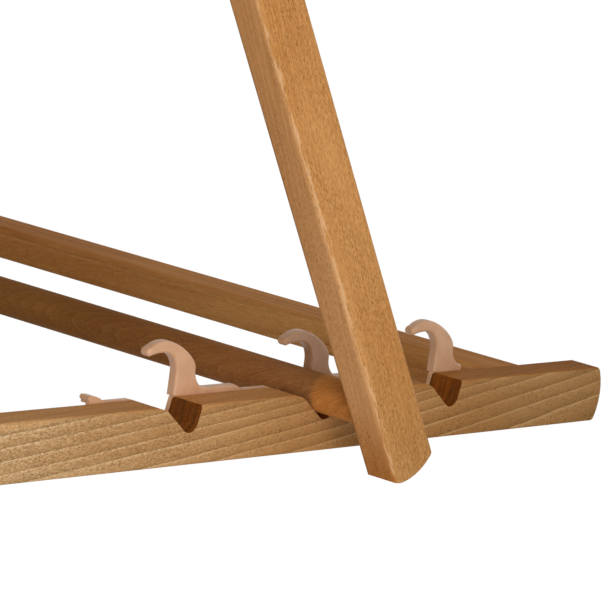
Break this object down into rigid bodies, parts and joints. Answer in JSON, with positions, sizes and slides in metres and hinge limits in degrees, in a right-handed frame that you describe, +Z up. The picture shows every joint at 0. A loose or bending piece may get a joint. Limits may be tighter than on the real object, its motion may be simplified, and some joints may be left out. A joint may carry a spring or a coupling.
{
  "type": "deck chair",
  "caption": "Folding wooden sling chair: a notched seat frame crosses a back frame, and a prop locks its cross bar under hooked notches to set the recline.",
  "frame": {"origin": "middle of the floor area that the chair covers, on the floor", "axes": "+Z up, the sitter faces -Y, +X is the sitter's left"},
  "size_m": [0.6272, 1.126, 0.7972],
  "materials": {
    "rail_wood": "oiled, eased edges",
    "bar_wood": "oiled",
    "hook_plastic": "moulded, pale tan",
    "spacer_nylon": "moulded",
    "zinc_steel": "zinc plated",
    "canvas": "plain woven cotton canvas"
  },
  "bodies": {
    "seat_frame": {"fold_bolt_left": "zinc_steel", "fold_bolt_right": "zinc_steel", "fold_nut_left": "zinc_steel", "fold_nut_right": "zinc_steel", "fold_spacer_left": "spacer_nylon", "fold_spacer_right": "spacer_nylon", "front_sling_bar": "bar_wood", "hook_strip_left": "hook_plastic", "hook_strip_right": "hook_plastic", "rear_cross_bar": "bar_wood", "seat_rail_left": "rail_wood", "seat_rail_right": "rail_wood", "sling": "canvas", "strip_screws_left": "zinc_steel", "strip_screws_right": "zinc_steel"},
    "back_frame": {"back_rail_left": "rail_wood", "back_rail_right": "rail_wood", "foot_cross_bar": "bar_wood", "head_sling_bar": "bar_wood", "prop_bolt_left": "zinc_steel", "prop_bolt_right": "zinc_steel", "prop_nut_left": "zinc_steel", "prop_nut_right": "zinc_steel", "prop_spacer_left": "spacer_nylon", "prop_spacer_right": "spacer_nylon"},
    "prop": {"prop_cross_bar": "bar_wood", "prop_leg_left": "rail_wood", "prop_leg_right": "rail_wood"}
  },
  "joints": [
    {"name": "back_fold", "type": "hinge", "parent": "seat_frame", "child": "back_frame", "pos_m": [0, -0.11609, 0.18547], "axis": [1, 0, 0], "range_deg": [0, 65], "deforming": ["sling"]},
    {"name": "prop_swing", "type": "hinge", "parent": "back_frame", "child": "prop", "pos_m": [0, 0.19718, 0.49244], "axis": [1, 0, 0], "range_deg": [-55.9, 0]}
  ],
  "couplings": [
    {"joint": "prop_swing", "follows": "back_fold", "ratio": -0.86}
  ]
}
